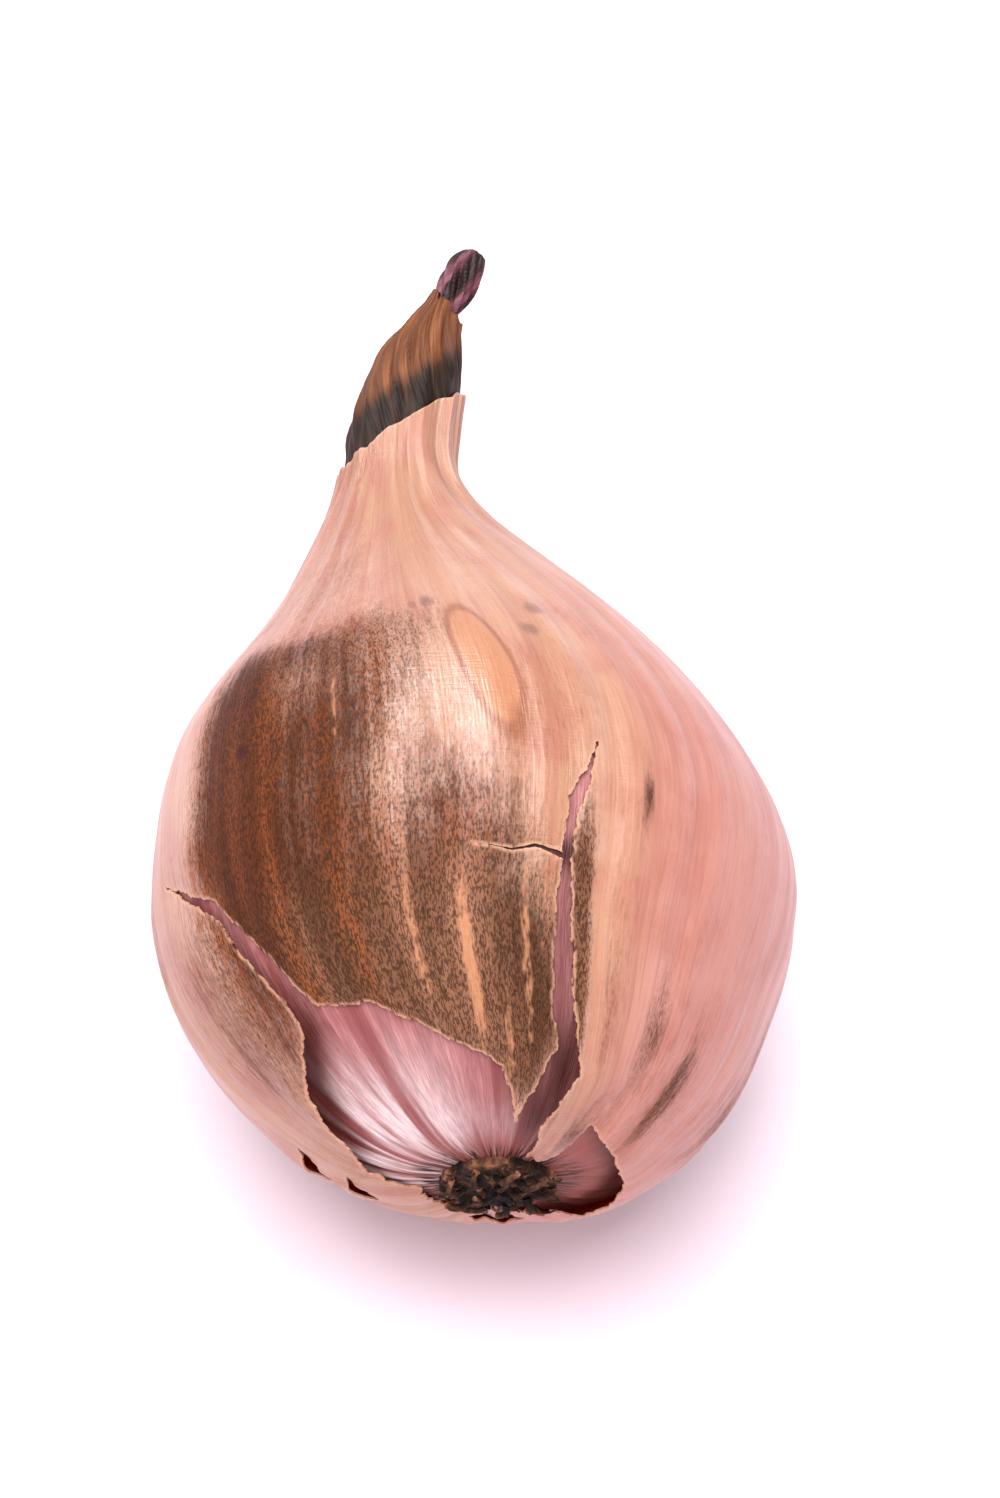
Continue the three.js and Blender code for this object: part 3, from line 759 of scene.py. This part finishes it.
    border = times(tree, fade(tree, edge, 0.26, 0.0), fade(tree, dust, 0.1, 0.6))
    colour = paint(tree, colour, srgb(200, 152, 124), border, 0.7)
    tree.links.new(colour, shader.inputs["Base Color"])
    rough = sums(tree, "ADD", 0.33, times(tree, stained, 0.24))
    tree.links.new(rough, shader.inputs["Roughness"])
    glossy = sums(tree, "SUBTRACT", 0.5, times(tree, stained, 0.42))
    tree.links.new(glossy, shader.inputs["Specular IOR Level"])
    shader.inputs["Subsurface Weight"].default_value = 0.25
    shader.inputs["Subsurface Radius"].default_value = (1.0, 0.45, 0.25)
    shader.inputs["Subsurface Scale"].default_value = 0.5 * MM
    height = sums(tree, "ADD", times(tree, veins, 0.5), times(tree, threads, 0.3))
    height = sums(tree, "ADD", height, times(tree, dust, 0.25))
    height = sums(tree, "ADD", height, times(tree, creases, 0.3))
    bump = add_node(tree, "Bump", {"Height": height, "Strength": 0.45, "Distance": 0.12 * MM})
    tree.links.new(bump, shader.inputs["Normal"])
    return material


torn = {name: torn_edge(outline, 20 + k, roughness=0.01 if name == "crack" else 0.035)
        for k, (name, outline) in enumerate(TEARS.items())}
skin_flat, skin_faces = join_seam(*skin_chart(torn))
skin_angle, skin_distance = skin_flat.T
gap, lift = nearest_edge(skin_angle, skin_distance, np.concatenate(list(torn.values())))
collar_gap = np.maximum(collar_edge(skin_angle) - skin_distance, 0)
# Lifted edges curl up, the others settle onto the flesh, and the collar flares a little.
raised = lift * np.exp(-((gap / 2.4) ** 2)) + 0.12 * np.exp(-((collar_gap / 1.2) ** 2))
settled = 0.24 * np.exp(-gap / 1.4) * (1 - smooth(0.05, 0.3, lift))
flutes = neck_flutes(skin_angle, skin_distance)
puckers = 0.06 * ripples(skin_angle, skin_distance, 32, 40, 0.04) * smooth(9, 1, skin_distance)
relief = 0.045 * ripples(skin_angle, skin_distance, 33, 56, 0.06) + flutes + puckers
skin_depth = settled - raised - relief
outer_side = on_spine(skin_angle, *skin_point(skin_distance, skin_depth))
inner_side = on_spine(skin_angle, *skin_point(skin_distance, skin_depth + SKIN_THICKNESS), SKIN_THICKNESS)
skin_points, skin_faces = thick_sheet(outer_side, inner_side, skin_faces)
skin_marks = np.column_stack([blotches(skin_angle, skin_distance, m) for m in (STAINS, RUSTS, PALES)])
# The flesh is painted with shade where the skin stands off it: under lifted edges, in the slit and crack.
SHADED_HOLLOWS = [
    (20, 8, 4, 3.6, 1.0), (15, 4, 6, 3.2, 0.85), (16.5, 15, 3, 8, 0.35), (8, 20.9, 10, 0.9, 1.0),
    (17, 20.8, 2.5, 1, 0.9),
]
flesh_angle, flesh_distance = ring_shares(bulb_angle), ring_shares(bulb_distance)
flesh_angle = (flesh_angle - SEAM + 60) % 360 + SEAM - 60      # from -210 to 150 degrees
open_edges = np.concatenate([torn["front"], torn["right"]])
flesh_gap, flesh_lift = nearest_edge(flesh_angle, flesh_distance, open_edges)
shade_under_edge = np.clip(1.3 * flesh_lift, 0, 1) * np.exp(-((flesh_gap / 0.9) ** 2))
flesh_painted_shade = np.maximum(0.8 * shade_under_edge, blotches(flesh_angle, flesh_distance, SHADED_HOLLOWS))
bulb.data.attributes.new("dark", "FLOAT", "POINT").data.foreach_set("value", flesh_painted_shade)
skin_grain = grain_of(skin_angle, skin_distance)
skin_edge = np.minimum(gap, collar_gap)
piece_from(
    "torn_skin", skin_points, skin_faces, papery_skin_material(), "papery_skin", ["outer_skin"],
    grain=np.concatenate([skin_grain] * 2), marks=np.concatenate([skin_marks] * 2),
    edge=np.concatenate([skin_edge] * 2))

# ---- Dried neck sheath ----
# Above the collar the leaves have withered into one brown twisted sheath, creased on the twist, with
# a fold wound round it and a slanted open end.
SHEATH_START, SHEATH_HIGH_END, SHEATH_LOW_END = 46.5, 60.9, 59.6
SHEATH_TWIST = 7.0            # degrees of turn for each millimetre
SHEATH_LEAST_RADIUS = 1.5
FOLD_HEIGHT, FOLD_ANGLE = 0.32, 315     # millimetres and degrees
MOUTH_END, MOUTH_WALL, MOUTH_ROWS = 57.2, 0.22, 14
TIP_HOLE = 1.1


def dried_material(name, stops, ridge, roughness, width, length):
    """Withered brown leaf or root: a ramp of colours along its creases, less the point's dark value."""
    material, tree, shader, grain = new_material(name)
    creases = fibres(tree, grain, width, length, 4.0)
    dark = add_node(tree, "Attribute", attribute_name="dark", out=2)
    level = sums(tree, "ADD", times(tree, creases, 0.5), 0.5)
    level = sums(tree, "SUBTRACT", level, dark, clamp=True)
    colour = shade_between(tree, level, stops)
    tree.links.new(colour, shader.inputs["Base Color"])
    shader.inputs["Roughness"].default_value = roughness
    shader.inputs["Specular IOR Level"].default_value = 0.2
    bump = add_node(tree, "Bump", {"Height": creases, "Strength": 0.6, "Distance": ridge * MM})
    tree.links.new(bump, shader.inputs["Normal"])
    return material


sheath_angle, sheath_share = np.meshgrid(np.arange(0, 360, 3.0), np.linspace(0, 1, 130))
left_lift = (1 - np.sin(np.radians(sheath_angle))) / 2
ragged = 0.15 * ripples(sheath_angle, 0, 41, 20, 0, 16)
sheath_end = SHEATH_LOW_END + (SHEATH_HIGH_END - SHEATH_LOW_END) * left_lift + ragged
sheath_along = SHEATH_START + (sheath_end - SHEATH_START) * sheath_share
collar_along = np.interp(collar_edge(sheath_angle), profile_arc, profile[:, 0])
out_of_collar = smooth(-1.2, 0.1, sheath_along - collar_along)
sheath_outer = np.interp(sheath_along, profile[:, 0], profile[:, 1])
sheath_outer = np.maximum(sheath_outer - 0.2 * smooth(55, 60, sheath_along), SHEATH_LEAST_RADIUS)
turned = sheath_angle + SHEATH_TWIST * sheath_along
twisted = (turned + FOLD_ANGLE) % 360
fold = FOLD_HEIGHT * (1 - twisted / 360) * smooth(0, 10, twisted)
clear = smooth(-0.2, 2.5, sheath_along - collar_along)
sheath_creases = 0.07 * ripples(turned, sheath_along, 42, 22, 0.2)
sheath_flutes = neck_flutes(sheath_angle, np.interp(sheath_along, profile[:, 0], profile_arc))
sheath_radius = sheath_outer * (0.72 + 0.28 * out_of_collar) - 0.22 * out_of_collar
sheath_radius += sheath_flutes * out_of_collar + (fold - 0.1 + sheath_creases) * clear
# The open end turns in and runs down to the hole that the tip stands in.
mouth_share = np.linspace(0, 1, MOUTH_ROWS)[:, None]
mouth_along = mouth_share * (MOUTH_END - sheath_along[-1]) + sheath_along[-1]
mouth_radius = TIP_HOLE + (sheath_radius[-1] - MOUTH_WALL - TIP_HOLE) * mouth_share[::-1] ** 3
rings_angle = np.concatenate([sheath_angle, np.repeat(sheath_angle[:1], MOUTH_ROWS, 0)])
rings_along = np.concatenate([sheath_along, mouth_along])
rings_radius = np.concatenate([sheath_radius, mouth_radius])
sheath_points, sheath_faces = closed_rings(on_spine(rings_angle, rings_along, rings_radius))
# Painted shade: a shadow band just beyond the collar, and the turned-in mouth painted dark down to the hole.
beyond = sheath_along - collar_along
shadow_band = 0.7 * smooth(4.4, 2.2, beyond) - 0.05 * smooth(0.6, 1.0, sheath_share)
sheath_painted_shade = np.concatenate([shadow_band, np.full((MOUTH_ROWS, sheath_angle.shape[1]), 0.7)])
sheath_grain = grain_of(rings_angle + SHEATH_TWIST * rings_along, rings_along) * [0.2, 0.2, 1]
piece_from(
    "withered_sheath", sheath_points, sheath_faces,
    dried_material("dried_sheath", [
        (0.0, srgb(28, 13, 4)), (0.3, srgb(52, 27, 11)), (0.62, srgb(92, 50, 26)), (0.85, srgb(112, 64, 34)),
        (1.0, srgb(134, 80, 46)),
    ], 0.2, 0.62, 0.5, 5.0),
    "dried_sheath", ["neck_sheath"], grain=ring_values(sheath_grain),
    dark=ring_shares(sheath_painted_shade))

# ---- Dried tip ----
# The innermost leaf ends in a small dark purple knob, shrivelled like a raisin, in the open sheath.
TIP_ROWS = [
    (56.8, 0.5), (58, 0.8), (60, 0.95), (61.2, 1.15), (62.2, 1.2), (63.2, 1.05), (64, 0.7), (64.2, 0.2),
]
tip_rows = through(TIP_ROWS, 60)
tip_angle, tip_along = np.meshgrid(np.arange(0, 360, 5.0), tip_rows[:, 0])
tip_radius = tip_rows[:, 1:] * (1 + 0.09 * ripples(tip_angle + 20 * tip_along, tip_along, 51, 12, 1.0, 14))
tip_points, tip_faces = closed_rings(on_spine(tip_angle, tip_along, tip_radius))
tip_dark = 0.35 * (1 + ripples(tip_angle, tip_along, 52, 5, 1.0, 6)) * smooth(58, 62, tip_along)
piece_from(
    "dried_tip", tip_points, tip_faces,
    dried_material("dried_tip", [
        (0.0, srgb(30, 12, 14)), (0.4, srgb(58, 26, 30)), (0.7, srgb(90, 46, 54)), (1.0, srgb(132, 82, 94)),
    ], 0.15, 0.5, 0.35, 1.5),
    "dried_tip", ["neck_tip"], grain=ring_values(grain_of(tip_angle, tip_along) * [0.06, 0.06, 1]),
    dark=ring_shares(np.clip(tip_dark, 0, 0.8)))

# ---- Root plate ----
# The stem's base, where the roots grew: a low corky dome, dark brown, with broken rings and pits.
PLATE_RADIUS, PLATE_DOME = 3.5, 0.45
PLATE_RIM = 0.9               # the share of the rows that lies on the face; the rest is its edge
EDGE_DEPTH = 8                # how steeply the edge runs back into the bulb
plate_angle, plate_share = np.meshgrid(np.arange(0, 360, 3.0), np.linspace(0, 1, 60)[1:])
plate_round = 1 + 0.03 * ripples(plate_angle, 0, 61, 14, 0, 10)
plate_radius = PLATE_RADIUS * np.minimum(plate_share / PLATE_RIM, 1) * plate_round
pits = 0.10 * ripples(plate_angle, 9 * plate_share, 62, 12, 1.6, 30)
plate_along = -PLATE_DOME * (1 - (plate_share / PLATE_RIM) ** 2) + pits * smooth(1, 0.8, plate_share)
plate_along = np.where(plate_share > PLATE_RIM, EDGE_DEPTH * (plate_share - PLATE_RIM), plate_along)
plate_points, plate_faces = closed_rings(on_spine(plate_angle, plate_along, plate_radius))
corky = [
    (0.0, srgb(24, 13, 9)), (0.35, srgb(54, 32, 22)), (0.6, srgb(92, 58, 42)), (0.85, srgb(140, 94, 66)),
    (1.0, srgb(178, 126, 92)),
]
plate_dark = np.clip(0.6 - 3.2 * pits - 0.3 * smooth(0.6, 0.9, plate_share), 0, 0.9)
piece_from(
    "root_plate_cork", plate_points, plate_faces,
    dried_material("root_plate", corky, 0.25, 0.85, 0.35, 0.5),
    "root_plate", ["root_plate"], grain=ring_values(grain_of(plate_angle, 6 * plate_share) * [0.15, 0.15, 1]),
    dark=ring_shares(plate_dark))

# ---- Root stubs ----
# The dried roots broke off short. Each stub leaves the plate, bends outwards and hooks round to one
# side; it tapers, wrinkles and is palest at its broken end. Hair roots lie between them.
ROOT_RINGS = [(9, 2.1, 0.22, 1.5), (5, 0.8, 0.2, 0.9)]          # count, radius, size, reach
ROOT_PATH = [(0, 0, -0.15), (0.3, 0.1, 0.2), (0.7, 0.25, 0.15), (0.85, 0.45, 0.05)]
ROOT_TURN, ROOT_TURN_SPREAD, ROOT_UNEVENNESS = 0.8, 0.3, 0.15
STUB_ROWS, STUB_SIDES = 26, 12
HAIR_COUNT, HAIR_ROWS, HAIR_SIDES = 46, 12, 6
root_material = dried_material("dried_root", corky, 0.12, 0.8, 0.4, 0.6)


def tube_along(path, thickness, sides, wrinkle, seed):
    """Rings round a path, an array (ring, side, xyz): each stands square to the path, with its first
    side turned towards the root end."""
    heading = np.gradient(path, axis=0)
    heading /= np.linalg.norm(heading, axis=1, keepdims=True)
    across = np.cross(heading, [0.0, 1.0, 0.3])
    across /= np.linalg.norm(across, axis=1, keepdims=True)
    upright = np.cross(heading, across)
    turn = np.linspace(0, 2 * math.pi, sides, endpoint=False)
    uneven = 1 + wrinkle * ripples(np.degrees(turn), np.linspace(0, 6, len(path))[:, None], seed, 5, 2.0, 6)
    radius = (thickness[:, None] * uneven)[..., None]
    round_ring = np.cos(turn)[:, None] * across[:, None] + np.sin(turn)[:, None] * upright[:, None]
    return path[:, None] + radius * round_ring


def root_path(angle, radius, reach, turn, start, rows):
    """The middle line of a stub, in millimetres: round the plate's middle, and off it towards -Y."""
    outwards, swing, off = np.array(ROOT_PATH).T
    spread, facing = radius + outwards * reach, angle + swing * turn
    places = np.column_stack([
        ROOT_SHIFT + spread * np.sin(facing), start - off * reach, ROOT_HEIGHT + spread * np.cos(facing)])
    return through(places, rows)


root_number = 0
for count, radius, size, reach in ROOT_RINGS:
    for i in range(count):
        root_number += 1
        angle = 2 * math.pi * (i + ROOT_UNEVENNESS * math.sin(5 * i)) / count
        turn = ROOT_TURN + ROOT_TURN_SPREAD * math.sin(3 * i)
        start = ROOT_END - PLATE_DOME + 0.05 - size
        path = root_path(angle, radius, reach, turn, start, STUB_ROWS)
        share = np.linspace(0, 1, STUB_ROWS)
        path[:, 1] += 0.1 * np.sin(7 * share + i) + (0.25 + 0.2 * math.sin(4 * i)) * share
        shape = size * np.interp(share, [0, 0.2, 0.8, 1], [1.5, 1.0, 0.8, 0.95])
        rings = tube_along(path, shape, STUB_SIDES, 0.1, 70 + root_number) * MM
        root_points, root_faces = closed_rings(rings)
        darkness = np.repeat(np.interp(share, [0, 0.5, 1], [0.8, 0.5, 0.0])[:, None], STUB_SIDES, 1)
        name = f"root_{root_number:02d}"
        piece_from(f"stub_{root_number:02d}", root_points, root_faces, root_material, "dried_root", [name],
                   grain=ring_values(rings / MM), dark=ring_shares(darkness))

random = np.random.default_rng(81)
hair_points, hair_faces, hair_start = [], [], 0
for k in range(HAIR_COUNT):
    angle, radius = random.uniform(0, 2 * math.pi), random.uniform(2.2, 3.6)
    reach, turn = random.uniform(0.5, 1.3), random.uniform(-0.5, 0.5)
    path = root_path(angle, radius, reach, turn, ROOT_END - 0.3, HAIR_ROWS)
    path[:, 1] += random.uniform(-0.1, 0.15)
    taper = random.uniform(0.04, 0.1) * np.linspace(1.3, 0.5, HAIR_ROWS)
    rings = tube_along(path, taper, HAIR_SIDES, 0.1, 200 + k) * MM
    points, faces = closed_rings(rings)
    hair_points.append(points)
    hair_faces.append(faces + hair_start)
    hair_start += len(points)
hair_points = np.concatenate(hair_points)
piece_from("hair_roots", hair_points, np.concatenate(hair_faces), root_material, "dried_root", ["root_01"],
           grain=hair_points / MM, dark=random.uniform(0.1, 0.7, len(hair_points)))
